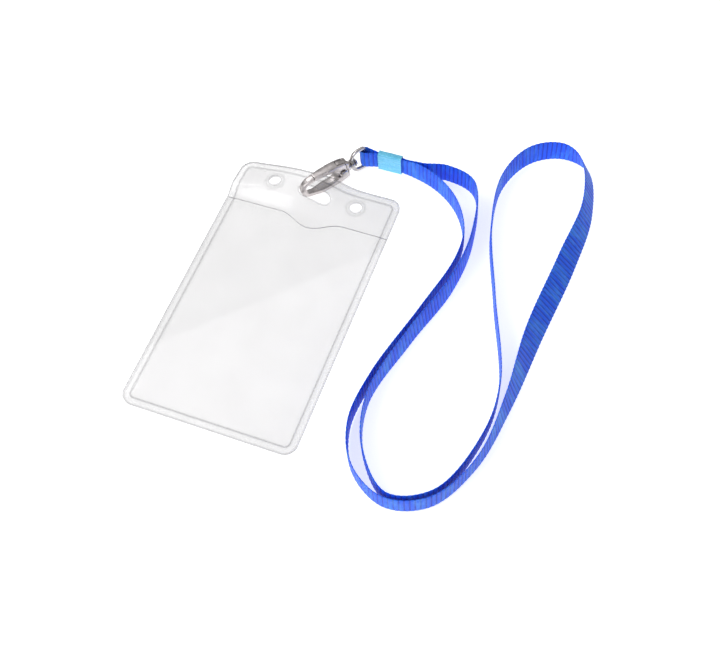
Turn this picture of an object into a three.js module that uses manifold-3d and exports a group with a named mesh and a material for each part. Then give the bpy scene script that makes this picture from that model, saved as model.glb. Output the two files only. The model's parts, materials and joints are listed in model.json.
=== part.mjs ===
// Lanyard badge holder: a clear vinyl pouch, an oval trigger hook with a swivel ring,
// and a neck strap whose two ends are held by a folded metal crimp.
// Millimetres, +Z up. The pouch lies on the XY plane with its long side along Y and its
// hook end towards +Y. The origin is the middle of the pouch's back face.
import * as THREE from "three";
import { mergeVertices } from "three/addons/utils/BufferGeometryUtils.js";
import Module from "manifold-3d";

// ---- driving dimensions -------------------------------------------------------------
const GAP = 0.3; // clearance between neighbouring pieces

// Vinyl pouch
const POUCH_WIDTH = 70;
const POUCH_LENGTH = 118;
const POUCH_CORNER = 5;
const VINYL = 0.35; // thickness of each sheet
const HOLE_RADIUS = 2.5; // the two round punch holes
const HOLE_SPACING = 35.2;
const HOLE_INSET = 8.4; // round holes to the pouch's top edge
const SLOT_INSET = 9.1; // slot to the pouch's top edge
const SLOT_LENGTH = 13;
const SLOT_WIDTH = 5;
const MOUTH_INSET = 19.4; // pocket mouth to the pouch's top edge
const NOTCH_DEPTH = 4.6; // thumb notch in the mouth
const NOTCH_HALF_WIDTH = 13.5;
const NOTCH_OFFSET = 2.5;
const FLAP_LIFT = 4.4; // how far the hook raises the punched flap
const FLAP_CREST_FROM = 0.4; // the raised stretch, left of the hook's plane
const FLAP_CREST_TO = 8;
const FLAP_FALL_LEFT = 17; // how the raised stretch runs out on either side
const FLAP_FALL_RIGHT = 6.5;
const FLAP_SAG = 0.12; // most that a straight edge may miss the raised surface by
const FLAP_EDGE = 14; // longest edge in the raised area

// Oval trigger hook, lying on edge
const HOOK_YAW = 38; // its axis, in degrees from +Y towards +X
const HOOK_PITCH = 2.5; // how far its neck end rises, in degrees
const HOOK_AXIS_Z = 5.75; // height of its middle
const HOOK_HALF_LENGTH = 12;
const HOOK_HALF_HEIGHT = 5.4;
const HOOK_THICKNESS = 4.3;
const HOOK_TIP_THICKNESS = 2.7; // as far as the gate's seam
const GATE_THICKNESS = 3.5; // the gate's arm, between seam and cheeks
const HOOK_BEVEL = 0.5;
const WIDEN_RUN = 5; // from tip thickness to full thickness, past the seam
const OVAL_POWER = 2.7; // 2 is an ellipse, more is fuller
const TIP_WALL = 1.9;
const BAND_WALL = 1.8;
const GATE_WALL = 2;
const NECK_BLOCK = 6.6; // length of the solid neck end
const SLOT_OFFSET = 4; // the tip's crossing point, left of the slot's middle
const SLOT_DROP = 0.4; // and below it
const GATE_SEAM = 6; // from the hook's tip
const RIVET_FROM_END = 4.5; // gate rivet, from the oval's neck end
const RIVET_DROP = 0.3;
const RIVET_RADIUS = 0.7;
const RIVET_HEAD_RADIUS = 1.6;
const RIVET_HEAD = 0.5;
const BOSS_RADIUS = 1.9;
const TONGUE_THICKNESS = 2;
const CHEEK_RUN = 4.6; // cheeks' start ahead of the neck block
const CHEEK_BACK = 0.5; // cheeks' back edge behind the rivet
const CHANNEL_ROOF = 0.9;
const CHANNEL_INSET = 4.2; // the gate's hollow underside, from the seam
const SPRING_THICKNESS = 0.25;

// Swivel and D-ring
const COLLAR_RADIUS = 2.1;
const COLLAR_REACH = 11.2; // collar's end from the hook's middle
const STUD_RADIUS = 0.8;
const STUD_HEAD_RADIUS = 1.8;
const STUD_HEAD = 1;
const STUD_DEPTH = 1.2; // in the collar
const RING_BOSS_RADIUS = 2;
const RING_BOSS = 1.8;
const RING_WIRE = 1.4;
const RING_HALF_HEIGHT = 6.3;
const RING_LENGTH = 7.4;
const RING_SHOULDER = 4.2; // corner radius beside the boss

// Strap and crimp
const STRAP_WIDTH = 10;
const STRAP_PINCHED = 8.4; // its width in the crimp and round the ring
const PINCH_RUN = 7; // how soon it opens out past the crimp
const STRAP_THICKNESS = 0.7;
const STRAP_FOOT = 0.2; // its lower edge above the table
const CRIMP_FOOT = 1.6; // the strap's lower edge inside the crimp
const CRIMP_LENGTH = 10;
const CRIMP_WALL = 0.25;
const CRIMP_X = 24.8; // middle of the crimp
const CRIMP_Y = 73.1;
const LAYER_GAP = 0.1; // between the two layers in the crimp
const CRIMP_SEAM = 0.5;

// The strap's lower edge from the crimp round to the crimp again: x, y, height of the
// lower edge and lean in degrees (to the left of the way it runs).
const STRAP_ROUTE = [
  [44.5, 69.8, STRAP_FOOT, 0],
  [56.6, 61, STRAP_FOOT, 0],
  [64, 48, STRAP_FOOT, 0],
  [65, 34, STRAP_FOOT, 0],
  [59.4, 9, STRAP_FOOT, 0],
  [51.4, -23, STRAP_FOOT, 0],
  [50.4, -43, STRAP_FOOT, 0],
  [57.6, -58, STRAP_FOOT, 0],
  [71.5, -65.3, STRAP_FOOT, 0],
  [86.5, -60, STRAP_FOOT, 0],
  [97.2, -41.5, STRAP_FOOT, 2],
  [102, -16, STRAP_FOOT, 16],
  [105, 16, STRAP_FOOT, 41],
  [108.4, 49, STRAP_FOOT, 45],
  [108.6, 76, STRAP_FOOT, 29],
  [101.8, 96.9, STRAP_FOOT, 24],
  [90.5, 100.6, STRAP_FOOT, 2],
  [78.6, 94.6, STRAP_FOOT, -6],
  [71.2, 78.5, STRAP_FOOT, -3],
  [73.4, 54, STRAP_FOOT, 0],
  [84, 23, STRAP_FOOT, 0],
  [96, -10.5, STRAP_FOOT, 0],
  [96.2, -32, STRAP_FOOT, 0],
  [86.9, -57, STRAP_FOOT, 0],
  [72, -63.4, STRAP_FOOT, 0],
  [58.6, -50.5, STRAP_FOOT, 0],
  [53, -31, STRAP_FOOT, 0],
  [59.3, -2, STRAP_FOOT, 6],
  [67, 25, STRAP_FOOT, 6],
  [67.8, 48, STRAP_FOOT, 3],
  [61, 71.2, STRAP_FOOT, 0],
  [48.5, 75.4, STRAP_FOOT, 0],
  [38, 73.4, STRAP_FOOT, 0],
];
const STRAP_STEPS_PER_POINT = 2;
const LOOP_POINTS = 5; // points round the ring's bar

// ---- sizes that follow ----------------------------------------------------------------
const pouchTop = POUCH_LENGTH / 2;
const holeY = pouchTop - HOLE_INSET;
const slotY = pouchTop - SLOT_INSET;
const mouthY = pouchTop - MOUTH_INSET;
const frontSheetZ = VINYL + GAP;
const yaw = THREE.MathUtils.degToRad(90 - HOOK_YAW);
const hookAxis = new THREE.Vector2(Math.cos(yaw), Math.sin(yaw));
const tipToCrossing = TIP_WALL / 2 + 0.75; // where the tip's wall passes the flap
const hookCentre = new THREE.Vector2(-SLOT_OFFSET, slotY - SLOT_DROP).addScaledVector(
  hookAxis,
  HOOK_HALF_LENGTH - tipToCrossing,
);
const eyeLeft = TIP_WALL - HOOK_HALF_LENGTH;
const eyeRight = HOOK_HALF_LENGTH - NECK_BLOCK;
const eyeBottom = BAND_WALL - HOOK_HALF_HEIGHT;
const eyeTop = HOOK_HALF_HEIGHT - GATE_WALL;
const seamX = GATE_SEAM - HOOK_HALF_LENGTH;
const rivetX = HOOK_HALF_LENGTH - RIVET_FROM_END;
const rivetZ = -RIVET_DROP;
const cheekInner = TONGUE_THICKNESS / 2 + GAP;
const collarStart = rivetX + BOSS_RADIUS + GAP;
const ringBossX = COLLAR_REACH + GAP;
const ringX = ringBossX + 0.4;
const barX = ringX + RING_LENGTH - RING_WIRE / 2;
const pitch = THREE.MathUtils.degToRad(HOOK_PITCH);
const barPoint = hookCentre.clone().addScaledVector(hookAxis, barX * Math.cos(pitch));
const barZ = HOOK_AXIS_Z + barX * Math.sin(pitch);
const loopRadius = RING_WIRE * 0.7 + GAP + STRAP_THICKNESS / 2;
const layerOffset = (STRAP_THICKNESS + LAYER_GAP) / 2;

const wasm = await Module();
wasm.setup();

// ---- helpers --------------------------------------------------------------------------
function toSolid(geometry) {
  const bare = geometry.clone();
  for (const name of Object.keys(bare.attributes)) {
    if (name !== "position") bare.deleteAttribute(name);
  }
  const merged = mergeVertices(bare, 1e-4);
  return new wasm.Manifold(
    new wasm.Mesh({
      numProp: 3,
      vertProperties: merged.attributes.position.array,
      triVerts: new Uint32Array(merged.index.array),
    }),
  );
}

function toGeometry(solid) {
  const mesh = solid.getMesh();
  const points = new Float32Array(mesh.numVert * 3);
  for (let i = 0; i < mesh.numVert; i++) {
    const start = i * mesh.numProp;
    points.set(mesh.vertProperties.subarray(start, start + 3), i * 3);
  }
  const geometry = new THREE.BufferGeometry();
  geometry.setAttribute("position", new THREE.BufferAttribute(points, 3));
  geometry.setIndex(new THREE.BufferAttribute(mesh.triVerts, 1));
  return geometry;
}

function named(name, geometry, color, roughness, metalness) {
  const material = new THREE.MeshStandardMaterial({ color, roughness, metalness });
  const mesh = new THREE.Mesh(geometry, material);
  mesh.name = name;
  return mesh;
}

// A shape drawn in X and Z, made `width` wide along Y and centred on the XZ plane.
function slab(shape, width, bevel = 0, curveSegments = 8) {
  const geometry = new THREE.ExtrudeGeometry(shape, {
    depth: width - 2 * bevel,
    bevelEnabled: bevel > 0,
    bevelSize: bevel,
    bevelOffset: -bevel,
    bevelThickness: bevel,
    bevelSegments: 2,
    curveSegments,
  });
  geometry.rotateX(Math.PI / 2);
  geometry.translate(0, width / 2 - bevel, 0);
  return geometry;
}

// Points of a full oval |x/a|^n + |y/b|^n = 1 about a centre.
function ovalShape(a, b, power, cx = 0, cy = 0, count = 40) {
  const points = [];
  for (let i = 0; i < count; i++) {
    const t = (2 * Math.PI * i) / count;
    const c = Math.cos(t);
    const s = Math.sin(t);
    points.push(
      new THREE.Vector2(
        cx + a * Math.sign(c) * Math.abs(c) ** (2 / power),
        cy + b * Math.sign(s) * Math.abs(s) ** (2 / power),
      ),
    );
  }
  return new THREE.Shape(points);
}

function polygon(points) {
  return new THREE.Shape(points.map(([x, y]) => new THREE.Vector2(x, y)));
}

// A rod along Y through (x, z).
function crossRod(radius, length, x, z, segments = 20) {
  const rod = new THREE.CylinderGeometry(radius, radius, length, segments);
  rod.translate(x, 0, z);
  return rod;
}

// A closed profile of [along X, radius] pairs turned about the X axis.
function turned(profile, segments = 24) {
  const points = profile.map(([x, r]) => new THREE.Vector2(r, x));
  const geometry = new THREE.LatheGeometry(points, segments);
  geometry.rotateZ(-Math.PI / 2);
  return geometry;
}

// ---- vinyl pouch ----------------------------------------------------------------------
function falloff(distance, width) {
  return Math.exp(-((distance / width) ** 2));
}

// Height that the hook gives the flap at (x, y).
function flapLift(x, y) {
  const side = new THREE.Vector2(x, y).sub(hookCentre).cross(hookAxis);
  const left = falloff(Math.min(0, side + FLAP_CREST_TO), FLAP_FALL_LEFT);
  const right = falloff(Math.max(0, side + FLAP_CREST_FROM), FLAP_FALL_RIGHT);
  const along = THREE.MathUtils.smoothstep(y, mouthY, slotY - SLOT_WIDTH / 2);
  return FLAP_LIFT * left * right * along;
}

// Upper edge of the front sheet, with its thumb notch.
function mouthLine(x) {
  const across = (x - NOTCH_OFFSET) / NOTCH_HALF_WIDTH;
  if (Math.abs(across) >= 1) return mouthY;
  return mouthY - (NOTCH_DEPTH * (1 + Math.cos(Math.PI * across))) / 2;
}

function mouthPoints(offset) {
  const points = [new THREE.Vector2(POUCH_WIDTH / 2, mouthY + offset)];
  const count = 14;
  for (let i = 0; i <= count; i++) {
    const x = NOTCH_OFFSET + NOTCH_HALF_WIDTH * (1 - (2 * i) / count);
    points.push(new THREE.Vector2(x, mouthLine(x) + offset));
  }
  points.push(new THREE.Vector2(-POUCH_WIDTH / 2, mouthY + offset));
  return points;
}

function addPouchEnd(shape, y, up) {
  const w = POUCH_WIDTH / 2;
  const r = POUCH_CORNER;
  if (up) {
    shape.lineTo(w, y - r);
    shape.absarc(w - r, y - r, r, 0, Math.PI / 2, false);
    shape.absarc(r - w, y - r, r, Math.PI / 2, Math.PI, false);
  } else {
    shape.lineTo(-w, y + r);
    shape.absarc(r - w, y + r, r, Math.PI, 1.5 * Math.PI, false);
    shape.absarc(w - r, y + r, r, 1.5 * Math.PI, 2 * Math.PI, false);
  }
}

function punchHoles() {
  const holes = [-1, 1].map((side) => {
    const hole = new THREE.Path();
    hole.absarc((side * HOLE_SPACING) / 2, holeY, HOLE_RADIUS, 0, 2 * Math.PI, true);
    return hole;
  });
  const slot = new THREE.Path();
  const r = SLOT_WIDTH / 2;
  const run = SLOT_LENGTH / 2 - r;
  slot.absarc(run, slotY, r, Math.PI / 2, -Math.PI / 2, true);
  slot.absarc(-run, slotY, r, -Math.PI / 2, -1.5 * Math.PI, true);
  slot.closePath();
  holes.push(slot);
  return holes;
}

// Splits every long edge that needs it, the same way on both sides of the edge.
function splitEdges(triangles, needsSplit) {
  const done = [];
  const queue = [...triangles];
  while (queue.length) {
    const tri = queue.pop();
    let worst = -1;
    let longest = 0;
    for (let i = 0; i < 3; i++) {
      const a = tri[i];
      const b = tri[(i + 1) % 3];
      const length = a.distanceTo(b);
      if (length > longest && needsSplit(a, b, length)) {
        longest = length;
        worst = i;
      }
    }
    if (worst < 0) {
      done.push(tri);
      continue;
    }
    const a = tri[worst];
    const b = tri[(worst + 1) % 3];
    const c = tri[(worst + 2) % 3];
    const middle = a.clone().add(b).multiplyScalar(0.5);
    queue.push([a, middle, c], [middle, b, c]);
  }
  return done;
}

// Whether an edge is too long to follow the raised flap.
function isCoarse(a, b, length) {
  if (Math.max(a.y, b.y) < mouthY) return false;
  if (length > FLAP_EDGE) return true;
  if (length < 1.5) return false;
  const [za, zb] = [flapLift(a.x, a.y), flapLift(b.x, b.y)];
  return [0.25, 0.5, 0.75].some((t) => {
    const z = flapLift(a.x + (b.x - a.x) * t, a.y + (b.y - a.y) * t);
    return Math.abs(z - za - (zb - za) * t) > FLAP_SAG;
  });
}

// A flat sheet cut to `shape`, its lower face at z, then raised with the flap.
function vinylSheet(shape, z) {
  const flat = new THREE.ExtrudeGeometry(shape, {
    depth: VINYL,
    bevelEnabled: false,
    curveSegments: 7,
  });
  const position = flat.getAttribute("position");
  const triangles = [];
  for (let i = 0; i < position.count; i += 3) {
    triangles.push([0, 1, 2].map((k) => new THREE.Vector3().fromBufferAttribute(position, i + k)));
  }
  const fine = splitEdges(triangles, isCoarse).flat();
  const geometry = new THREE.BufferGeometry().setFromPoints(
    fine.map((p) => new THREE.Vector3(p.x, p.y, p.z + z + flapLift(p.x, p.y))),
  );
  return toGeometry(toSolid(geometry));
}

function backSheet() {
  const shape = new THREE.Shape();
  shape.moveTo(POUCH_WIDTH / 2, 0);
  addPouchEnd(shape, pouchTop, true);
  addPouchEnd(shape, -pouchTop, false);
  shape.closePath();
  shape.holes = punchHoles();
  return vinylSheet(shape, 0);
}

function frontPanel() {
  const shape = new THREE.Shape(mouthPoints(0));
  addPouchEnd(shape, -pouchTop, false);
  shape.closePath();
  return vinylSheet(shape, frontSheetZ);
}

function headerStrip() {
  const shape = new THREE.Shape(mouthPoints(GAP).reverse());
  addPouchEnd(shape, pouchTop, true);
  shape.closePath();
  shape.holes = punchHoles();
  return vinylSheet(shape, frontSheetZ);
}

// ---- trigger hook, in its own frame: X along its axis to the neck, Z up ------------------
// The hook's outline seen from above: full width at the neck, narrower at the tip.
function hookPlan() {
  const wide = HOOK_THICKNESS / 2;
  const tip = HOOK_TIP_THICKNESS / 2;
  const end = HOOK_HALF_LENGTH;
  const shape = new THREE.Shape();
  shape.moveTo(end, -wide);
  shape.lineTo(end, wide);
  shape.lineTo(seamX + WIDEN_RUN, wide);
  shape.quadraticCurveTo(seamX + WIDEN_RUN / 2, wide * 0.97, seamX, tip);
  shape.quadraticCurveTo(-end, tip * 0.95, -end, tip * 0.45);
  shape.lineTo(-end, -tip * 0.45);
  shape.quadraticCurveTo(-end, -tip * 0.95, seamX, -tip);
  shape.quadraticCurveTo(seamX + WIDEN_RUN / 2, -wide * 0.97, seamX + WIDEN_RUN, -wide);
  shape.closePath();
  const plan = new THREE.ExtrudeGeometry(shape, {
    depth: 4 * HOOK_HALF_HEIGHT,
    bevelEnabled: false,
    curveSegments: 5,
  });
  plan.translate(0, 0, -2 * HOOK_HALF_HEIGHT);
  return toSolid(plan);
}

function hookBlank() {
  const oval = ovalShape(HOOK_HALF_LENGTH, HOOK_HALF_HEIGHT, OVAL_POWER);
  return toSolid(slab(oval, HOOK_THICKNESS, HOOK_BEVEL)).intersect(hookPlan());
}

function eyeCut(margin = 0) {
  const a = (eyeRight - eyeLeft) / 2 + margin;
  const b = (eyeTop - eyeBottom) / 2 + margin;
  const cx = (eyeRight + eyeLeft) / 2;
  const cz = (eyeTop + eyeBottom) / 2;
  return toSolid(slab(ovalShape(a, b, OVAL_POWER, cx, cz, 32), 2 * HOOK_THICKNESS));
}

// The stretch of the oval that belongs to the gate, out to `side` past its ends.
function gateZone(side) {
  const top = 2 * HOOK_HALF_HEIGHT;
  return polygon([
    [seamX - side - 0.35, eyeTop - 1.4],
    [eyeRight + side, eyeTop - 1.4],
    [eyeRight + side, top],
    [seamX - side + 1.6, top],
  ]);
}

// The gate's arm seen from above, out to the cheeks.
function armPlan() {
  const seam = HOOK_TIP_THICKNESS / 2;
  const half = GATE_THICKNESS / 2;
  const cheeks = eyeRight - CHEEK_RUN + 1;
  const side = [
    [seamX - 1, seam],
    [seamX, seam],
    [seamX + WIDEN_RUN, half],
    [cheeks, half],
    [cheeks + 1.5, HOOK_THICKNESS],
    [2 * HOOK_HALF_LENGTH, HOOK_THICKNESS],
  ];
  const mirrored = side.map(([x, y]) => [x, -y]).reverse();
  const plan = new THREE.ExtrudeGeometry(polygon([...mirrored, ...side]), {
    depth: 4 * HOOK_HALF_HEIGHT,
    bevelEnabled: false,
  });
  plan.translate(0, 0, -2 * HOOK_HALF_HEIGHT);
  return toSolid(plan);
}

// One cheek of the gate, from its arm down round the rivet.
function cheekShape() {
  const shape = new THREE.Shape();
  shape.moveTo(eyeRight - CHEEK_RUN, eyeTop);
  shape.quadraticCurveTo(eyeRight - 0.6, eyeTop - 0.4, rivetX - BOSS_RADIUS, rivetZ);
  shape.absarc(rivetX, rivetZ, BOSS_RADIUS, Math.PI, 2.25 * Math.PI, false);
  shape.lineTo(rivetX + CHEEK_BACK, HOOK_HALF_HEIGHT * 2);
  shape.lineTo(eyeRight - CHEEK_RUN, HOOK_HALF_HEIGHT * 2);
  shape.closePath();
  return shape;
}

// The recess beside the tongue that a cheek swings in.
function cheekPocket() {
  const r = BOSS_RADIUS + GAP;
  const shape = new THREE.Shape();
  shape.moveTo(eyeRight - CHEEK_RUN - 1, HOOK_HALF_HEIGHT * 2);
  shape.lineTo(eyeRight - CHEEK_RUN - 1, eyeBottom + 2);
  shape.lineTo(rivetX - r * Math.SQRT1_2, rivetZ - r * Math.SQRT1_2);
  shape.absarc(rivetX, rivetZ, r, 1.25 * Math.PI, 2.25 * Math.PI, false);
  shape.lineTo(rivetX + CHEEK_BACK + GAP, HOOK_HALF_HEIGHT * 2);
  shape.closePath();
  return shape;
}

function sideSlab(shape, inner, outer, side) {
  const geometry = slab(shape, outer - inner);
  geometry.translate(0, (side * (outer + inner)) / 2, 0);
  return toSolid(geometry);
}

function hookBody() {
  const collar = turned([
    [collarStart, 0],
    [collarStart, COLLAR_RADIUS],
    [COLLAR_REACH - 0.3, COLLAR_RADIUS],
    [COLLAR_REACH, COLLAR_RADIUS - 0.3],
    [COLLAR_REACH, 0],
  ]);
  const far = 2 * HOOK_THICKNESS;
  const past = polygon([
    [collarStart + GAP, -far],
    [far * 2, -far],
    [far * 2, far],
    [collarStart + GAP, far],
  ]);
  const studBore = turned([
    [COLLAR_REACH - STUD_DEPTH - GAP, 0],
    [COLLAR_REACH - STUD_DEPTH - GAP, STUD_RADIUS + GAP],
    [COLLAR_REACH + 1, STUD_RADIUS + GAP],
    [COLLAR_REACH + 1, 0],
  ]);
  let body = hookBlank().subtract(eyeCut());
  body = body.subtract(toSolid(slab(gateZone(0), far)));
  body = body.subtract(toSolid(slab(past, far)));
  for (const side of [-1, 1]) {
    body = body.subtract(sideSlab(cheekPocket(), TONGUE_THICKNESS / 2, far, side));
  }
  body = body.add(toSolid(collar));
  body = body.subtract(toSolid(crossRod(RIVET_RADIUS + GAP, far, rivetX, rivetZ)));
  return toGeometry(body.subtract(toSolid(studBore)));
}

function hookGate() {
  const far = 2 * HOOK_THICKNESS;
  const blank = hookBlank();
  let arm = blank.intersect(toSolid(slab(gateZone(-GAP), far)));
  arm = arm.subtract(eyeCut()).intersect(armPlan());
  for (const side of [-1, 1]) {
    const cheek = sideSlab(cheekShape(), cheekInner, HOOK_THICKNESS / 2, side);
    arm = arm.add(cheek.intersect(blank));
  }
  const channelEnd = seamX + CHANNEL_INSET;
  const channel = polygon([
    [channelEnd, -HOOK_HALF_HEIGHT],
    [far * 2, -HOOK_HALF_HEIGHT],
    [far * 2, HOOK_HALF_HEIGHT - CHANNEL_ROOF],
    [channelEnd, HOOK_HALF_HEIGHT - CHANNEL_ROOF],
  ]);
  arm = arm.subtract(toSolid(slab(channel, 2 * cheekInner)));
  return toGeometry(arm.subtract(toSolid(crossRod(RIVET_RADIUS + GAP, far, rivetX, rivetZ))));
}

function gateRivet() {
  const face = HOOK_THICKNESS / 2 + GAP;
  const outer = face + RIVET_HEAD;
  const profile = [
    [-outer, 0],
    [-outer, RIVET_HEAD_RADIUS * 0.7],
    [-face - RIVET_HEAD * 0.4, RIVET_HEAD_RADIUS],
    [-face, RIVET_HEAD_RADIUS],
    [-face, RIVET_RADIUS],
    [face, RIVET_RADIUS],
    [face, RIVET_HEAD_RADIUS],
    [face + RIVET_HEAD * 0.4, RIVET_HEAD_RADIUS],
    [outer, RIVET_HEAD_RADIUS * 0.7],
    [outer, 0],
  ];
  const rivet = turned(profile, 20);
  rivet.rotateZ(Math.PI / 2);
  rivet.translate(rivetX, 0, rivetZ);
  return rivet;
}

// Leaf spring under the gate's roof, resting against the tongue's front.
function gateSpring() {
  const roof = HOOK_HALF_HEIGHT - CHANNEL_ROOF - GAP - 0.5;
  const start = seamX + CHANNEL_INSET + 1;
  const end = eyeRight - 2 * GAP;
  const t = SPRING_THICKNESS;
  const shape = polygon([
    [start, roof],
    [start, roof - t],
    [end - 3.2, roof - t],
    [end - t, roof - 3.4],
    [end - t, roof - 4.2],
    [end, roof - 4.2],
    [end, roof - 3.3],
    [end - 3.1, roof],
  ]);
  return slab(shape, 2 * (cheekInner - GAP));
}

// ---- swivel ---------------------------------------------------------------------------
function swivelStud() {
  const root = COLLAR_REACH - STUD_DEPTH;
  const head = ringBossX + RING_BOSS + GAP;
  return turned([
    [root, 0],
    [root, STUD_RADIUS],
    [head, STUD_RADIUS],
    [head, STUD_HEAD_RADIUS],
    [head + STUD_HEAD * 0.4, STUD_HEAD_RADIUS],
    [head + STUD_HEAD * 0.85, STUD_HEAD_RADIUS * 0.7],
    [head + STUD_HEAD, STUD_HEAD_RADIUS * 0.3],
    [head + STUD_HEAD, 0],
  ]);
}

// The D-ring's outline, `inset` inside its outer edge.
function ringOutline(inset) {
  const left = ringX + inset;
  const right = ringX + RING_LENGTH - inset;
  const half = RING_HALF_HEIGHT - inset;
  const shoulder = RING_SHOULDER - inset;
  const corner = Math.max(1.5 - inset, 0.4);
  const shape = new THREE.Shape();
  shape.moveTo(right, 0);
  shape.absarc(right - corner, half - corner, corner, 0, Math.PI / 2, false);
  shape.absarc(left + shoulder, half - shoulder, shoulder, Math.PI / 2, Math.PI, false);
  shape.absarc(left + shoulder, shoulder - half, shoulder, Math.PI, 1.5 * Math.PI, false);
  shape.absarc(right - corner, corner - half, corner, -Math.PI / 2, 0, false);
  shape.closePath();
  return shape;
}

function swivelRing() {
  const shape = ringOutline(0);
  shape.holes = [new THREE.Path(ringOutline(RING_WIRE).getPoints(7).reverse())];
  const hoop = toSolid(slab(shape, RING_WIRE, RING_WIRE * 0.28, 7));
  const end = ringBossX + RING_BOSS;
  const boss = turned([
    [ringBossX, 0],
    [ringBossX, RING_BOSS_RADIUS - 0.3],
    [ringBossX + 0.3, RING_BOSS_RADIUS],
    [end - 0.3, RING_BOSS_RADIUS],
    [end, RING_BOSS_RADIUS - 0.3],
    [end, 0],
  ]);
  const bore = turned([
    [ringBossX - 1, 0],
    [ringBossX - 1, STUD_RADIUS + GAP],
    [end + 1, STUD_RADIUS + GAP],
    [end + 1, 0],
  ]);
  return toGeometry(hoop.add(toSolid(boss)).subtract(toSolid(bore)));
}

// ---- crimp and strap --------------------------------------------------------------------
function crimp() {
  const inY = 2 * layerOffset + STRAP_THICKNESS + 2 * GAP;
  const inZ = STRAP_PINCHED + 2 * GAP;
  const y = inY / 2;
  const z = inZ / 2;
  const w = CRIMP_WALL;
  const s = CRIMP_SEAM / 2;
  const profile = polygon([
    [y, s],
    [y, z],
    [-y, z],
    [-y, -z],
    [y, -z],
    [y, -s],
    [y + w, -s],
    [y + w, -z - w + 0.2],
    [y + w - 0.2, -z - w],
    [-y - w + 0.2, -z - w],
    [-y - w, -z - w + 0.2],
    [-y - w, z + w - 0.2],
    [-y - w + 0.2, z + w],
    [y + w - 0.2, z + w],
    [y + w, z + w - 0.2],
    [y + w, s],
  ]);
  const band = new THREE.ExtrudeGeometry(profile, {
    depth: CRIMP_LENGTH,
    bevelEnabled: false,
  });
  band.rotateX(Math.PI / 2);
  band.rotateZ(Math.PI / 2);
  band.translate(-CRIMP_LENGTH / 2, 0, 0);
  return band;
}

// Lower-edge points of the whole strap: end in the crimp, round the ring's bar, back
// through the crimp, along the route, and into the crimp again.
function strapPoints() {
  const half = CRIMP_LENGTH / 2;
  const back = CRIMP_Y + layerOffset;
  const front = CRIMP_Y - layerOffset;
  const foot = barZ - STRAP_PINCHED / 2;
  const points = [
    [CRIMP_X - LAYER_GAP, back, CRIMP_FOOT, 0],
    [CRIMP_X - half, back, CRIMP_FOOT, 0],
  ];
  const towards = Math.atan2(CRIMP_Y - barPoint.y, CRIMP_X - half - barPoint.x);
  for (let i = 0; i < LOOP_POINTS; i++) {
    const turn = towards + Math.PI * (0.5 + i / (LOOP_POINTS - 1));
    points.push([
      barPoint.x + loopRadius * Math.cos(turn),
      barPoint.y + loopRadius * Math.sin(turn),
      foot,
      0,
    ]);
  }
  points.push(
    [CRIMP_X - half, front, CRIMP_FOOT, 0],
    [CRIMP_X + half, front, CRIMP_FOOT, 0],
    ...STRAP_ROUTE,
    [CRIMP_X + half, back, CRIMP_FOOT, 0],
    [CRIMP_X + LAYER_GAP, back, CRIMP_FOOT, 0],
  );
  return points;
}

// The strap is narrower where it is squeezed, on the ring's side of the crimp's end.
function strapWidth(x) {
  const from = CRIMP_X + CRIMP_LENGTH / 2 + 1;
  const open = THREE.MathUtils.smoothstep(x, from, from + PINCH_RUN);
  return THREE.MathUtils.lerp(STRAP_PINCHED, STRAP_WIDTH, open);
}

// A flat band standing on its lower edge and leaning as the route says.
function strap() {
  const points = strapPoints();
  const foot = new THREE.CatmullRomCurve3(
    points.map(([x, y, z]) => new THREE.Vector3(x, y, z)),
    false,
    "centripetal",
  );
  const lean = new THREE.CatmullRomCurve3(
    points.map((p, i) => new THREE.Vector3(THREE.MathUtils.degToRad(p[3]), i, 0)),
    false,
    "catmullrom",
  );
  const steps = (points.length - 1) * STRAP_STEPS_PER_POINT;
  const corners = [];
  for (let i = 0; i <= steps; i++) {
    const t = i / steps;
    const way = foot.getTangent(t).setZ(0).normalize();
    const left = new THREE.Vector3(-way.y, way.x, 0);
    const angle = lean.getPoint(t).x;
    const rise = new THREE.Vector3(0, 0, Math.cos(angle)).addScaledVector(left, Math.sin(angle));
    const across = left.multiplyScalar(Math.cos(angle));
    across.z = -Math.sin(angle);
    const start = foot.getPoint(t);
    start.z += (Math.abs(Math.sin(angle)) * STRAP_THICKNESS) / 2;
    const half = STRAP_THICKNESS / 2;
    const end = start.clone().addScaledVector(rise, strapWidth(start.x));
    corners.push(
      start.clone().addScaledVector(across, -half),
      start.clone().addScaledVector(across, half),
      end.clone().addScaledVector(across, half),
      end.clone().addScaledVector(across, -half),
    );
  }
  const index = [0, 2, 1, 0, 3, 2];
  for (let i = 0; i < steps; i++) {
    for (let k = 0; k < 4; k++) {
      const a = 4 * i + k;
      const b = 4 * i + ((k + 1) % 4);
      index.push(a, b, a + 4, b, b + 4, a + 4);
    }
  }
  const last = 4 * steps;
  index.push(last, last + 1, last + 2, last, last + 2, last + 3);
  const geometry = new THREE.BufferGeometry().setFromPoints(corners);
  geometry.setIndex(index);
  return geometry;
}

// ---- the object -------------------------------------------------------------------------
const VINYL_COLOR = 0xe6e7ea;
const METAL_COLOR = 0xb9b3b1;
const badgeHolder = new THREE.Group();

const pouch = new THREE.Group();
pouch.add(named("badge_back_sheet", backSheet(), VINYL_COLOR, 0.15, 0));
pouch.add(named("badge_front_panel", frontPanel(), VINYL_COLOR, 0.15, 0));
pouch.add(named("badge_header_strip", headerStrip(), VINYL_COLOR, 0.15, 0));
badgeHolder.add(pouch);

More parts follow.
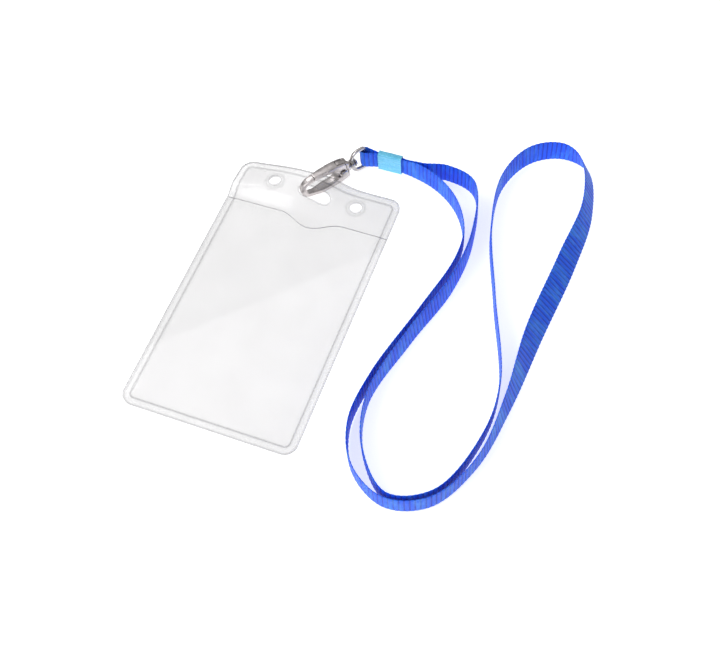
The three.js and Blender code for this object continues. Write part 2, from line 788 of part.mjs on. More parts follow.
const hook = new THREE.Group();
hook.position.set(hookCentre.x, hookCentre.y, HOOK_AXIS_Z);
hook.rotation.set(0, -pitch, yaw, "ZYX");
hook.add(named("hook_body", hookBody(), METAL_COLOR, 0.3, 1));
hook.add(named("hook_gate", hookGate(), METAL_COLOR, 0.35, 1));
hook.add(named("gate_rivet", gateRivet(), METAL_COLOR, 0.25, 1));
hook.add(named("gate_spring", gateSpring(), METAL_COLOR, 0.3, 1));
hook.add(named("swivel_stud", swivelStud(), METAL_COLOR, 0.25, 1));
hook.add(named("swivel_ring", swivelRing(), METAL_COLOR, 0.25, 1));
badgeHolder.add(hook);

const strapEnd = named("strap_crimp", crimp(), 0x7fc4e8, 0.35, 0.8);
strapEnd.position.set(CRIMP_X, CRIMP_Y, CRIMP_FOOT + STRAP_PINCHED / 2);
badgeHolder.add(strapEnd);
badgeHolder.add(named("lanyard_strap", strap(), 0x1f5fe0, 0.75, 0));

export default badgeHolder;
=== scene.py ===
"""Looks of a lanyard badge holder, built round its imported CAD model.

The pouch is three sheets of clear vinyl, cut, welded and raised by the hook. The neck strap
is ribbed webbing along its laid route, held by a folded crimp. The hook and its swivel are
the CAD nodes with their edges broken and a satin nickel finish. Lengths are in metres.
"""

import json
import math

import bmesh
import bpy
import numpy as np
from mathutils import Matrix, Vector, geometry, kdtree, noise


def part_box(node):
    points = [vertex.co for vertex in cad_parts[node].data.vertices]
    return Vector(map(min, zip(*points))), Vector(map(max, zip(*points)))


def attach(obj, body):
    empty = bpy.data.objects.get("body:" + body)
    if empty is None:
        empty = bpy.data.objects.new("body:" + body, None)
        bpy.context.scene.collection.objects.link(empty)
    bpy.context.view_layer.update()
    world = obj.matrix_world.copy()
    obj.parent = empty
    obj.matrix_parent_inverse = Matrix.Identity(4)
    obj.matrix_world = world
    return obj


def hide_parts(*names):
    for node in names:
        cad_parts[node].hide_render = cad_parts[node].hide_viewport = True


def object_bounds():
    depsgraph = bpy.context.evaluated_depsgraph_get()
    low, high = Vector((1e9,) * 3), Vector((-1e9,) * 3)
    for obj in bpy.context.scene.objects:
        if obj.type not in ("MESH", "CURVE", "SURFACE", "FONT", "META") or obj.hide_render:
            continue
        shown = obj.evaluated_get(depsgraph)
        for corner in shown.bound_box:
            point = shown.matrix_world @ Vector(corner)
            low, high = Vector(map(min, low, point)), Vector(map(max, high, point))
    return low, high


MM = 0.001

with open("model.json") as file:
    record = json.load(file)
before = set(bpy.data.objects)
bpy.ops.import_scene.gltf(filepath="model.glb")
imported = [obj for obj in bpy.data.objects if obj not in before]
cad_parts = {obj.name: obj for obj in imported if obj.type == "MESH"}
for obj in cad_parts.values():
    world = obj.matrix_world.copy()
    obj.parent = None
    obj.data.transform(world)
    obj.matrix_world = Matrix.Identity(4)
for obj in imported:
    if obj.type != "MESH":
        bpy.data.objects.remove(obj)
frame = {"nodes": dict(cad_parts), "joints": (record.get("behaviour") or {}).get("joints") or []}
cad_low, cad_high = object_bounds()
joints = {j["name"]: j for j in frame["joints"]}

# ---- camera ---------------------------------------------------------------------------------
CAMERA_TARGET = Vector((39.2, -2.2, 0)) * MM
CAMERA_DISTANCE = 378 * MM
CAMERA_AZIMUTH = math.radians(26.4)
CAMERA_ELEVATION = math.radians(59.8)
CAMERA_ROLL = math.radians(-6.8)
CAMERA_LENS = 50


def make_camera():
    az, el, roll = CAMERA_AZIMUTH, CAMERA_ELEVATION, CAMERA_ROLL
    forward = Vector((-math.sin(az) * math.cos(el), math.cos(az) * math.cos(el), -math.sin(el)))
    level = Vector((math.cos(az), math.sin(az), 0))
    above = level.cross(forward)
    right = level * math.cos(roll) + above * math.sin(roll)
    up = above * math.cos(roll) - level * math.sin(roll)
    data = bpy.data.cameras.new("camera")
    data.lens = CAMERA_LENS
    data.clip_start = 0.01
    data.clip_end = 60
    camera = bpy.data.objects.new("camera", data)
    turn = Matrix((right, up, -forward)).transposed().to_4x4()
    camera.matrix_world = Matrix.Translation(CAMERA_TARGET - forward * CAMERA_DISTANCE) @ turn
    bpy.context.scene.collection.objects.link(camera)
    bpy.context.scene.camera = camera


make_camera()


# ---- node and mesh helpers ------------------------------------------------------------------
class Nodes:
    """A material's node tree, with short ways to add and join nodes."""

    def __init__(self, name):
        self.material = bpy.data.materials.new(name)
        self.material.use_nodes = True
        self.tree = self.material.node_tree
        self.shader = self.tree.nodes["Principled BSDF"]

    def add(self, kind, **inputs):
        node = self.tree.nodes.new("ShaderNode" + kind)
        for key, value in inputs.items():
            self.set(node, key.replace("_", " "), value)
        return node

    def set(self, node, socket, value):
        target = node.inputs[socket]
        if isinstance(value, bpy.types.NodeSocket):
            self.tree.links.new(value, target)
        else:
            target.default_value = value

    def noise(self, vector, scale, detail=3.0, roughness=0.55):
        node = self.add("TexNoise", Scale=scale, Detail=detail, Roughness=roughness)
        self.set(node, "Vector", vector)
        return node.outputs["Fac"]

    def map(self, value, low, high, to_low, to_high):
        node = self.add("MapRange")
        ends = (("From Min", low), ("From Max", high), ("To Min", to_low), ("To Max", to_high))
        for key, number in ends:
            self.set(node, key, number)
        self.set(node, "Value", value)
        return node.outputs["Result"]

    def mix(self, factor, a, b):
        node = self.tree.nodes.new("ShaderNodeMix")
        node.data_type = "RGBA"
        for index, value in ((0, factor), (6, a), (7, b)):
            if isinstance(value, bpy.types.NodeSocket):
                self.tree.links.new(value, node.inputs[index])
            else:
                node.inputs[index].default_value = value
        return node.outputs[2]

    def math(self, operation, a, b=0.0):
        node = self.tree.nodes.new("ShaderNodeMath")
        node.operation = operation
        for index, value in ((0, a), (1, b)):
            if isinstance(value, bpy.types.NodeSocket):
                self.tree.links.new(value, node.inputs[index])
            else:
                node.inputs[index].default_value = value
        return node.outputs[0]

    def bump(self, height, strength, distance, normal=None):
        node = self.add("Bump", Strength=strength, Distance=distance)
        self.set(node, "Height", height)
        if normal is not None:
            self.set(node, "Normal", normal)
        return node.outputs["Normal"]

    def coordinates(self, which="Object"):
        return self.tree.nodes.new("ShaderNodeTexCoord").outputs[which]

    def stretched(self, vector, scale):
        node = self.add("Mapping")
        self.set(node, "Vector", vector)
        node.inputs["Scale"].default_value = scale
        return node.outputs["Vector"]

    def attribute(self, name):
        node = self.tree.nodes.new("ShaderNodeAttribute")
        node.attribute_name = name
        return node.outputs["Fac"]


def new_object(name, mesh):
    made = bpy.data.objects.new(name, mesh)
    bpy.context.scene.collection.objects.link(made)
    return made


def smooth(mesh, angle=40):
    mesh.polygons.foreach_set("use_smooth", [True] * len(mesh.polygons))
    mesh.set_sharp_from_angle(angle=math.radians(angle))


def applied(made):
    """Turns the object's modifiers into its mesh."""
    graph = bpy.context.evaluated_depsgraph_get()
    mesh = bpy.data.meshes.new_from_object(made.evaluated_get(graph))
    made.modifiers.clear()
    made.data = mesh
    return made


# ---- the strap's route ----------------------------------------------------------------------
STRAP_WIDTH = 10 * MM
STRAP_PINCHED = 8.4 * MM
PINCH_RUN = 7 * MM
STRAP_THICKNESS = 0.7 * MM
STRAP_FOOT = 0.2
CRIMP_FOOT = 1.6
CRIMP_LAYER = 0.4  # each layer's middle, from the crimp's own
LOOP_RADIUS = 1.63
LOOP_POINTS = 5

# Lower edge from the crimp round to the crimp again: x, y, height of the lower edge in
# millimetres, and lean in degrees.
STRAP_ROUTE = [
    (44.5, 69.8, STRAP_FOOT, 0),
    (56.6, 61, STRAP_FOOT, 0),
    (64, 48, STRAP_FOOT, 0),
    (65, 34, STRAP_FOOT, 0),
    (59.4, 9, STRAP_FOOT, 0),
    (51.4, -23, STRAP_FOOT, 0),
    (50.4, -43, STRAP_FOOT, 0),
    (57.6, -58, STRAP_FOOT, 0),
    (71.5, -65.3, STRAP_FOOT, 0),
    (86.5, -60, STRAP_FOOT, 0),
    (97.2, -41.5, STRAP_FOOT, 2),
    (102, -16, STRAP_FOOT, 16),
    (105, 16, STRAP_FOOT, 41),
    (108.4, 49, STRAP_FOOT, 45),
    (108.6, 76, STRAP_FOOT, 29),
    (101.8, 96.9, STRAP_FOOT, 24),
    (90.5, 100.6, STRAP_FOOT, 2),
    (78.6, 94.6, STRAP_FOOT, -6),
    (71.2, 78.5, STRAP_FOOT, -3),
    (73.4, 54, STRAP_FOOT, 0),
    (84, 23, STRAP_FOOT, 0),
    (96, -10.5, STRAP_FOOT, 0),
    (96.2, -32, STRAP_FOOT, 0),
    (86.9, -57, STRAP_FOOT, 0),
    (72, -63.4, STRAP_FOOT, 0),
    (58.6, -50.5, STRAP_FOOT, 0),
    (53, -31, STRAP_FOOT, 0),
    (59.3, -2, STRAP_FOOT, 6),
    (67, 25, STRAP_FOOT, 6),
    (67.8, 48, STRAP_FOOT, 3),
    (61, 71.2, STRAP_FOOT, 0),
    (48.5, 75.4, STRAP_FOOT, 0),
    (38, 73.4, STRAP_FOOT, 0),
]

ROUTE_STEPS = 40  # curve steps between two of the route's points
RIB_PITCH = 1.85 * MM
RIB_STEPS = 5  # rows of the mesh to a rib
RIB_HEIGHT = 0.19 * MM
EDGE_SCALLOP = 0.14 * MM
EDGE_ROUND = 0.9 * MM  # the strap's faces thin out over this far from its edges
EDGE_THIN = 0.45  # thickness left at the very edge
FACE_GAP = 20 * MM  # between the two faces in the UV map
ACROSS = 9  # columns of the mesh on each face

crimp_low, crimp_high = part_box("strap_crimp")
crimp_middle = (crimp_low + crimp_high) / 2
crimp_half = (crimp_high.x - crimp_low.x) / 2


def strap_points():
    """The whole lower edge: end in the crimp, round the ring's bar, back through the crimp,
    along the route and into the crimp again."""
    x, y, half = crimp_middle.x / MM, crimp_middle.y / MM, crimp_half / MM
    back, front = y + CRIMP_LAYER, y - CRIMP_LAYER
    bar = Vector(joints["strap_loop_swing"]["pos_m"]) / MM
    foot = bar.z - STRAP_PINCHED / MM / 2
    points = [(x - 0.1, back, CRIMP_FOOT, 0), (x - half, back, CRIMP_FOOT, 0)]
    towards = math.atan2(y - bar.y, x - half - bar.x)
    for i in range(LOOP_POINTS):
        turn = towards + math.pi * (0.5 + i / (LOOP_POINTS - 1))
        across, away = LOOP_RADIUS * math.cos(turn), LOOP_RADIUS * math.sin(turn)
        points.append((bar.x + across, bar.y + away, foot, 0))
    points += [(x - half, front, CRIMP_FOOT, 0), (x + half, front, CRIMP_FOOT, 0)]
    points += STRAP_ROUTE
    points += [(x + half, back, CRIMP_FOOT, 0), (x + 0.1, back, CRIMP_FOOT, 0)]
    return np.array(points, float)


def catmull_rom(points, per_span, power):
    """Points on a Catmull-Rom curve, centripetal at power 0.5 and uniform at power 0."""
    ends = np.vstack([2 * points[0] - points[1], points, 2 * points[-1] - points[-2]])
    t = np.arange(per_span) / per_span
    out = []
    for i in range(len(points) - 1):
        p0, p1, p2, p3 = ends[i : i + 4]
        spans = ((p0, p1), (p1, p2), (p2, p3))
        d0, d1, d2 = (max(np.linalg.norm(b - a), 1e-9) ** power for a, b in spans)
        m1 = ((p1 - p0) / d0 - (p2 - p0) / (d0 + d1) + (p2 - p1) / d1) * d1
        m2 = ((p2 - p1) / d1 - (p3 - p1) / (d1 + d2) + (p3 - p2) / d2) * d1
        a = 2 * p1 - 2 * p2 + m1 + m2
        b = -3 * p1 + 3 * p2 - 2 * m1 - m2
        out.append(p1 + np.outer(t, m1) + np.outer(t**2, b) + np.outer(t**3, a))
    return np.vstack([*out, points[-1:]])


def strap_width(x):
    """Narrower where it is squeezed, on the ring's side of the crimp's end."""
    t = np.clip((x - crimp_high.x - 1 * MM) / PINCH_RUN, 0, 1)
    return STRAP_PINCHED + (STRAP_WIDTH - STRAP_PINCHED) * t * t * (3 - 2 * t)


def strap_frames():
    """Evenly spaced rows along the strap: lower-edge point, direction up its face, direction
    across its thickness, width and distance along."""
    points = strap_points()
    foot = catmull_rom(points[:, :3], ROUTE_STEPS, 0.5) * MM
    leans = np.column_stack([points[:, 3], np.arange(len(points))])
    lean = np.radians(catmull_rom(leans, ROUTE_STEPS, 0)[:, 0])
    along = np.concatenate([[0], np.cumsum(np.linalg.norm(np.diff(foot, axis=0), axis=1))])
    rows = int(round(along[-1] / RIB_PITCH)) * RIB_STEPS
    at = np.linspace(0, along[-1], rows + 1)
    foot = np.column_stack([np.interp(at, along, foot[:, k]) for k in range(3)])
    lean = np.interp(at, along, lean)
    way = np.gradient(foot, axis=0)
    way[:, 2] = 0
    way /= np.linalg.norm(way, axis=1)[:, None]
    left = np.column_stack([-way[:, 1], way[:, 0], np.zeros(len(way))])
    upright = np.array([0.0, 0.0, 1.0])
    rise = np.outer(np.cos(lean), upright) + left * np.sin(lean)[:, None]
    across = left * np.cos(lean)[:, None] - np.outer(np.sin(lean), upright)
    foot[:, 2] += np.abs(np.sin(lean)) * STRAP_THICKNESS / 2
    return foot, rise, across, strap_width(foot[:, 0]), at


def make_strap():
    foot, rise, across, width, at = strap_frames()
    rib = np.abs(np.sin(np.pi * at / RIB_PITCH)) ** 0.8
    half = STRAP_THICKNESS / 2 - RIB_HEIGHT * (1 - rib)
    scallop = EDGE_SCALLOP * (1 - rib)
    spread = (np.arange(ACROSS) / (ACROSS - 1) * 2 - 1)[None, :]
    edge = np.clip((1 - np.abs(spread)) * width[:, None] / EDGE_ROUND, 0, 1)
    lens = EDGE_THIN + (1 - EDGE_THIN) * np.sqrt(1 - (1 - edge) ** 2)
    up = (spread + 1) / 2 * (width - 2 * scallop)[:, None] + scallop[:, None]
    faces = []
    for side in (-1, 1):
        offset = side * half[:, None] * lens
        face = foot[:, None, :] + rise[:, None, :] * up[:, :, None]
        face = face + across[:, None, :] * offset[:, :, None]
        faces.append(face if side < 0 else face[:, ::-1])
    ring = np.concatenate(faces, axis=1)
    rows, count = ring.shape[:2]
    index = np.arange(rows * count).reshape(rows, count)
    nxt = np.roll(index, -1, axis=1)
    quads = np.stack([index[:-1], nxt[:-1], nxt[1:], index[1:]], axis=-1).reshape(-1, 4)
    polygons = [tuple(int(v) for v in q[::-1]) for q in quads]
    polygons.append(tuple(int(v) for v in index[0]))
    polygons.append(tuple(int(v) for v in index[-1][::-1]))
    mesh = bpy.data.meshes.new("strap")
    mesh.from_pydata(ring.reshape(-1, 3).tolist(), [], polygons)
    uv = mesh.uv_layers.new(name="along")
    u = np.repeat(at, count)
    v = np.concatenate([up, up[:, ::-1] + FACE_GAP], axis=1).reshape(-1)
    corners = np.zeros(len(mesh.loops), int)
    mesh.loops.foreach_get("vertex_index", corners)
    uv.data.foreach_set("uv", (np.column_stack([u, v])[corners] / MM).ravel())
    mesh.validate()
    smooth(mesh, 70)
    centre = foot + rise * (width / 2)[:, None]
    return new_object("neck_strap", mesh), centre, at[-1]


def webbing_material():
    n = Nodes("blue_webbing")
    uv = n.coordinates("UV")
    split = n.add("SeparateXYZ")
    n.set(split, "Vector", uv)
    along, over = split.outputs["X"], split.outputs["Y"]
    rib = n.math("ABSOLUTE", n.math("SINE", n.math("MULTIPLY", along, math.pi * MM / RIB_PITCH)))
    yarn = n.math("SINE", n.math("MULTIPLY", over, 2 * math.pi / 0.55))
    slant = n.math("ADD", n.math("MULTIPLY", over, 9.0), n.math("MULTIPLY", along, 14.0))
    ply = n.math("SINE", slant)
    painted_highlight_patch = n.noise(n.stretched(uv, (0.22, 0.05, 1)), 1.0, 5.0, 0.7)
    fuzz = n.noise(uv, 3.5, 4.0, 0.7)
    # Painted shade and highlight: the rib valleys are coloured dark navy and the rib crowns lighter
    # blue, as the ribs' own light and shade.
    painted_rib_shading = n.map(rib, 0.0, 0.75, 0.0, 1.0)
    colour = n.mix(painted_rib_shading, (0.004, 0.032, 0.46, 1), (0.011, 0.125, 0.98, 1))
    # Painted highlight: where the stretched noise is high, the strap is coloured pale blue as bands
    # of highlight.
    colour = n.mix(n.map(painted_highlight_patch, 0.46, 0.70, 0.0, 0.6), colour, (0.09, 0.42, 1.0, 1))
    colour = n.mix(n.map(fuzz, 0.4, 0.75, 0.0, 0.2), colour, (0.004, 0.045, 0.62, 1))
    n.set(n.shader, "Base Color", colour)
    n.set(n.shader, "Roughness", n.map(fuzz, 0.3, 0.7, 0.42, 0.62))
    n.set(n.shader, "Specular IOR Level", 0.3)
    n.set(n.shader, "Sheen Weight", 0.08)
    n.set(n.shader, "Sheen Roughness", 0.4)
    n.set(n.shader, "Sheen Tint", (0.45, 0.65, 1.0, 1))
    height = n.math("ADD", n.math("MULTIPLY", yarn, 0.12), n.math("MULTIPLY", ply, 0.25))
    normal = n.bump(height, 0.5, 0.06 * MM)
    n.set(n.shader, "Normal", n.bump(fuzz, 0.25, 0.05 * MM, normal))
    return n.material


# ---- crimp ----------------------------------------------------------------------------------
CRIMP_WALL = 0.3 * MM
CRIMP_ROUND = 0.55 * MM
CRIMP_SEAM = 0.5 * MM
CRIMP_ROWS = 30
CRIMP_CORNER_STEPS = 5
CRIMP_STEP = 0.5 * MM  # mesh spacing round its outline
CRIMP_DENT_SIZE = 2.6 * MM


def crimp_profile():
    """Half-open outline in Y and Z round the strap's two layers, its seam on the far side."""
    y = (crimp_high.y - crimp_low.y) / 2
    z = (crimp_high.z - crimp_low.z) / 2
    r = CRIMP_ROUND
    points = [(y, CRIMP_SEAM / 2)]
    corners = ((y - r, z - r, 0), (r - y, z - r, 90), (r - y, r - z, 180), (y - r, r - z, 270))
    for cy, cz, start in corners:
        for k in range(CRIMP_CORNER_STEPS + 1):
            a = math.radians(start + 90 / CRIMP_CORNER_STEPS * k)
            points.append((cy + r * math.cos(a), cz + r * math.sin(a)))
    points.append((y, -CRIMP_SEAM / 2))
    fine = [points[0]]
    for a, b in zip(points, points[1:]):
        steps = max(1, int(math.dist(a, b) / CRIMP_STEP))
        parts = [k / steps for k in range(1, steps + 1)]
        fine += [(a[0] + (b[0] - a[0]) * t, a[1] + (b[1] - a[1]) * t) for t in parts]
    return fine


def make_crimp():
    """A folded strip, slightly uneven along its faces and flared at its two ends."""
    outer, vertices = crimp_profile(), []
    for i in range(CRIMP_ROWS + 1):
        t = i / CRIMP_ROWS
        x = crimp_low.x + 2 * crimp_half * t
        flare = 0.12 * MM * (1 - min(1, min(t, 1 - t) * 14)) ** 2
        for y, z in outer:
            spot = Vector((x, y * 0.3, z)) / CRIMP_DENT_SIZE
            dent = 0.16 * MM * noise.noise(spot) + 0.05 * MM * noise.noise(spot * 3.1)
            side = 1 if abs(z) < (crimp_high.z - crimp_low.z) / 2 - CRIMP_ROUND else 0.3
            swell = flare + max(0, 0.06 * MM - dent) * side
            vertices.append(
                (x, crimp_middle.y + y + math.copysign(swell, y), crimp_middle.z + z)
            )
    count = len(outer)
    quads = []
    for i in range(CRIMP_ROWS):
        for k in range(count - 1):
            a = i * count + k
            quads.append((a, a + 1, a + count + 1, a + count))
    mesh = bpy.data.meshes.new("crimp")
    mesh.from_pydata(vertices, [], quads)
    made = new_object("crimp_sleeve", mesh)
    wall = made.modifiers.new("wall", "SOLIDIFY")
    wall.thickness = CRIMP_WALL
    wall.offset = -1
    edge = made.modifiers.new("edge", "BEVEL")
    edge.width = 0.06 * MM
    edge.segments = 2
    edge.limit_method = "ANGLE"
    applied(made)
    smooth(made.data, 50)
    return made


def crimp_material():
    n = Nodes("blue_crimp")
    spot = n.coordinates()
    wrinkle = n.noise(n.stretched(spot, (260, 420, 900)), 1.0, 3.0)
    scuff = n.noise(spot, 1500, 4.0, 0.65)
    worn = n.map(scuff, 0.58, 0.74, 0.0, 0.5)
    colour = n.mix(n.map(wrinkle, 0.3, 0.7, 0.0, 1.0), (0.06, 0.48, 0.78, 1), (0.16, 0.64, 0.90, 1))
    n.set(n.shader, "Base Color", n.mix(worn, colour, (0.62, 0.82, 0.90, 1)))
    n.set(n.shader, "Metallic", 0.25)
    n.set(n.shader, "Roughness", n.map(scuff, 0.3, 0.7, 0.24, 0.42))
    n.set(n.shader, "Coat Weight", 0.8)
    n.set(n.shader, "Coat Roughness", 0.15)
    normal = n.bump(wrinkle, 0.5, 0.12 * MM)
    n.set(n.shader, "Normal", n.bump(scuff, 0.15, 0.02 * MM, normal))
    return n.material


# ---- vinyl pouch ----------------------------------------------------------------------------
VINYL = 0.35 * MM
HOLE_RADIUS = 2.5 * MM
HOLE_SPACING = 35.2 * MM
HOLE_INSET = 8.4 * MM
SLOT_INSET = 9.1 * MM
SLOT_LENGTH = 13 * MM
SLOT_WIDTH = 5 * MM
POUCH_CORNER = 5 * MM
NOTCH_DEPTH = 4.6 * MM
NOTCH_HALF_WIDTH = 13.5 * MM
NOTCH_OFFSET = 2.5 * MM
MOUTH_GAP = 0.12 * MM  # the header strip and the front panel all but meet
FLAP_LIFT = 4.4 * MM
FLAP_CREST_FROM = 0.4 * MM
FLAP_CREST_TO = 8 * MM
FLAP_FALL_LEFT = 17 * MM
FLAP_FALL_RIGHT = 6.5 * MM
WELD_WIDTH = 2.9 * MM  # border that the weld flattens
WELD_DROP = 0.2 * MM
WELD_RIDGE = 0.16 * MM
WELD_GROOVE = 0.12 * MM
HALO_RADIUS = 3.8 * MM  # ring that the punch leaves round each hole
HALO = 0.12 * MM
PILLOW = 0.35 * MM  # how far the empty pocket stands open
RIPPLE = 0.10 * MM
GRID = 1.1 * MM
# Rows of mesh points that follow the pouch's outline and its holes, where the welds shape it.
BORDER_ROWS = np.array([0.3, 0.6, 1.1, 1.7, 2.2, 2.5, 2.7, 2.9, 3.1, 3.4, 3.8]) * MM
HOLE_ROWS = np.array([0.3, 0.65, 1.0, 1.3, 1.6]) * MM
ROW_CLEARANCE = 0.2 * MM

back_low, back_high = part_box("badge_back_sheet")
panel_low, panel_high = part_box("badge_front_panel")
pouch_half = back_high.x
pouch_top = back_high.y
mouth_y = panel_high.y
slot_y = pouch_top - SLOT_INSET
hole_y = pouch_top - HOLE_INSET
front_z = panel_low.z
hook_line = Vector(joints["ring_swivel"]["pos_m"]).to_2d()
hook_axis = Vector(joints["ring_swivel"]["axis"]).to_2d().normalized()


def smoothstep(x, low, high):
    t = np.clip((x - low) / (high - low), 0, 1)
    return t * t * (3 - 2 * t)


def flap_lift(x, y):
    """Height that the hook gives the punched flap."""
    side = (x - hook_line.x) * hook_axis.y - (y - hook_line.y) * hook_axis.x
    left = np.exp(-((np.minimum(0, side + FLAP_CREST_TO) / FLAP_FALL_LEFT) ** 2))
    right = np.exp(-((np.maximum(0, side + FLAP_CREST_FROM) / FLAP_FALL_RIGHT) ** 2))
    return FLAP_LIFT * left * right * smoothstep(y, mouth_y, slot_y - SLOT_WIDTH / 2)


def inset(x, y):
    """Distance in from the pouch's outline."""
    r = POUCH_CORNER
    ax = np.abs(x) - (pouch_half - r)
    ay = np.abs(y) - (pouch_top - r)
    out = np.hypot(np.maximum(ax, 0), np.maximum(ay, 0)) + np.minimum(np.maximum(ax, ay), 0)
    return r - out


def hole_distance(x, y):
    """Distance from the nearest punched edge, and from the slot's."""
    round_hole = np.minimum(
        np.hypot(x - HOLE_SPACING / 2, y - hole_y), np.hypot(x + HOLE_SPACING / 2, y - hole_y)
    )
    run = SLOT_LENGTH / 2 - SLOT_WIDTH / 2
    slot = np.hypot(np.maximum(np.abs(x) - run, 0), y - slot_y) - SLOT_WIDTH / 2
    return round_hole - HOLE_RADIUS, slot


def bump_at(distance, width):
    return np.exp(-((distance / width) ** 2))


def weld_mask(x, y):
    """1 in the welded border and round the holes, 0 in the free film."""
    holes, slot = hole_distance(x, y)
    border = 1 - smoothstep(inset(x, y), WELD_WIDTH - 0.3 * MM, WELD_WIDTH + 0.3 * MM)
    halo = 1 - smoothstep(holes, HALO_RADIUS - HOLE_RADIUS - 0.3 * MM, HALO_RADIUS - HOLE_RADIUS)
    return np.maximum(border, 0.8 * halo)


def painted_crease_shade_mask(x, y):
    """Painted shade: 1 along the creases that bend the light, the weld's inner line, the punched
    edges, the ring round each hole and the rim by the outline, where the vinyl is coloured darker
    and made less clear.
    """
    holes, slot = hole_distance(x, y)
    weld = bump_at(inset(x, y) - WELD_WIDTH, 0.3 * MM)
    halo = 0.4 * bump_at(holes - (HALO_RADIUS - HOLE_RADIUS), 0.35 * MM)
    punched = 0.5 * np.maximum(bump_at(holes, 0.3 * MM), bump_at(slot, 0.35 * MM))
    rim = 0.6 * bump_at(inset(x, y) - 0.3 * MM, 0.25 * MM)
    return np.clip(np.maximum.reduce([weld, halo, punched, rim]), 0, 1)


def film_noise(x, y, size, seed):
    return np.array([noise.noise(Vector((a / size, b / size, seed))) for a, b in zip(x, y)])


def front_height(x, y):
    """The front film's shape over its flat height: pressed at the welds, loose in between."""
    d = inset(x, y)
    holes, slot = hole_distance(x, y)
    pressed = -WELD_DROP * (1 - smoothstep(d, WELD_WIDTH - 0.5 * MM, WELD_WIDTH + 0.4 * MM))
    ridge = WELD_RIDGE * bump_at(d - WELD_WIDTH + 0.7 * MM, 0.3 * MM)
    groove = -WELD_GROOVE * bump_at(d - WELD_WIDTH - 0.25 * MM, 0.3 * MM)
    lip = 0.07 * MM * bump_at(d - 0.5 * MM, 0.35 * MM)
    halo = -HALO * bump_at(holes - (HALO_RADIUS - HOLE_RADIUS), 0.3 * MM)
    halo = halo + 0.5 * HALO * bump_at(holes, 0.6 * MM)
    slot_lip = 0.5 * HALO * bump_at(slot, 0.6 * MM)
    inner = smoothstep(d, WELD_WIDTH, WELD_WIDTH + 9 * MM)
    wave = RIPPLE * film_noise(x, y, 21 * MM, 3.0) + 0.5 * RIPPLE * film_noise(x, y, 8 * MM, 8.0)
    return pressed + ridge + groove + lip + halo + slot_lip + (0.4 * PILLOW + wave) * inner


def back_height(x, y):
    """The back film lies flat, and only its welds are marked."""
    d = inset(x, y)
    return 0.06 * MM * bump_at(d - WELD_WIDTH + 0.3 * MM, 0.35 * MM)


def arc(cx, cy, r, start, end, step=0.6 * MM):
    count = max(3, int(abs(math.radians(end - start)) * r / step))
    angles = np.radians(np.linspace(start, end, count + 1))
    return [(cx + r * math.cos(a), cy + r * math.sin(a)) for a in angles]


def densify(loop, step=0.9 * MM):
    out = []
    for a, b in zip(loop, loop[1:] + loop[:1]):
        count = max(1, int(math.dist(a, b) / step))
        parts = [k / count for k in range(count)]
        out += [(a[0] + (b[0] - a[0]) * t, a[1] + (b[1] - a[1]) * t) for t in parts]
    return out


def pouch_end(up):
    w, r, top = pouch_half, POUCH_CORNER, pouch_top
    if up:
        return arc(w - r, top - r, r, 0, 90) + arc(r - w, top - r, r, 90, 180)
    return arc(r - w, r - top, r, 180, 270) + arc(w - r, r - top, r, 270, 360)


def mouth_edge(offset):
    """The pocket's mouth from right to left, with its thumb notch."""
    count = 60
    points = [(pouch_half, mouth_y + offset)]
    for i in range(count + 1):
        t = 1 - 2 * i / count
        drop = NOTCH_DEPTH * (1 + math.cos(math.pi * t)) / 2
        points.append((NOTCH_OFFSET + NOTCH_HALF_WIDTH * t, mouth_y + offset - drop))
    return points + [(-pouch_half, mouth_y + offset)]


def punched_holes():
    holes = [arc(side * HOLE_SPACING / 2, hole_y, HOLE_RADIUS, 0, 360)[:-1] for side in (-1, 1)]
    run = SLOT_LENGTH / 2 - SLOT_WIDTH / 2
    r = SLOT_WIDTH / 2
    holes.append(arc(run, slot_y, r, -90, 90) + arc(-run, slot_y, r, 90, 270))
    return holes


def inside(x, y, loop):
    """Whether each point is inside the loop, by counting crossings."""
    crossed = np.zeros(len(x), bool)
    for (ax, ay), (bx, by) in zip(loop, loop[1:] + loop[:1]):
        spans = (ay > y) != (by > y)
        if spans.any():
            at = ax + (y - ay) * (bx - ax) / ((by - ay) or 1e-12)
            crossed ^= spans & (x < at)
    return crossed


def rows_inside(loop, core_x, core_y, radius, offsets):
    """Copies of a loop with rounded corners, each the next offset out from or in from it."""
    loop = np.array(densify(loop))
    core = np.column_stack([np.clip(loop[:, 0], *core_x), np.clip(loop[:, 1], *core_y)])
    out = (loop - core) / np.linalg.norm(loop - core, axis=1)[:, None]
    return np.vstack([core + out * (radius + d) for d in offsets])


def guide_points():
    w, t = pouch_half - POUCH_CORNER, pouch_top - POUCH_CORNER
    border = pouch_end(True) + pouch_end(False)
    rows = [rows_inside(border, (-w, w), (-t, t), POUCH_CORNER, -BORDER_ROWS)]
    left, right, slot = punched_holes()
    middle, run = HOLE_SPACING / 2, SLOT_LENGTH / 2 - SLOT_WIDTH / 2
    for hole, x in ((left, -middle), (right, middle)):
        rows.append(rows_inside(hole, (x, x), (hole_y, hole_y), HOLE_RADIUS, HOLE_ROWS))
    rows.append(rows_inside(slot, (-run, run), (slot_y, slot_y), SLOT_WIDTH / 2, HOLE_ROWS[:3]))
    return np.vstack(rows)


def clear_of(points, others, gap):
    """The points that are further than the gap from all the others."""
    tree = kdtree.KDTree(len(others))
    for k, (x, y) in enumerate(others):
        tree.insert((x, y, 0), k)
    tree.balance()
    return points[[tree.find((x, y, 0))[2] > gap for x, y in points]]


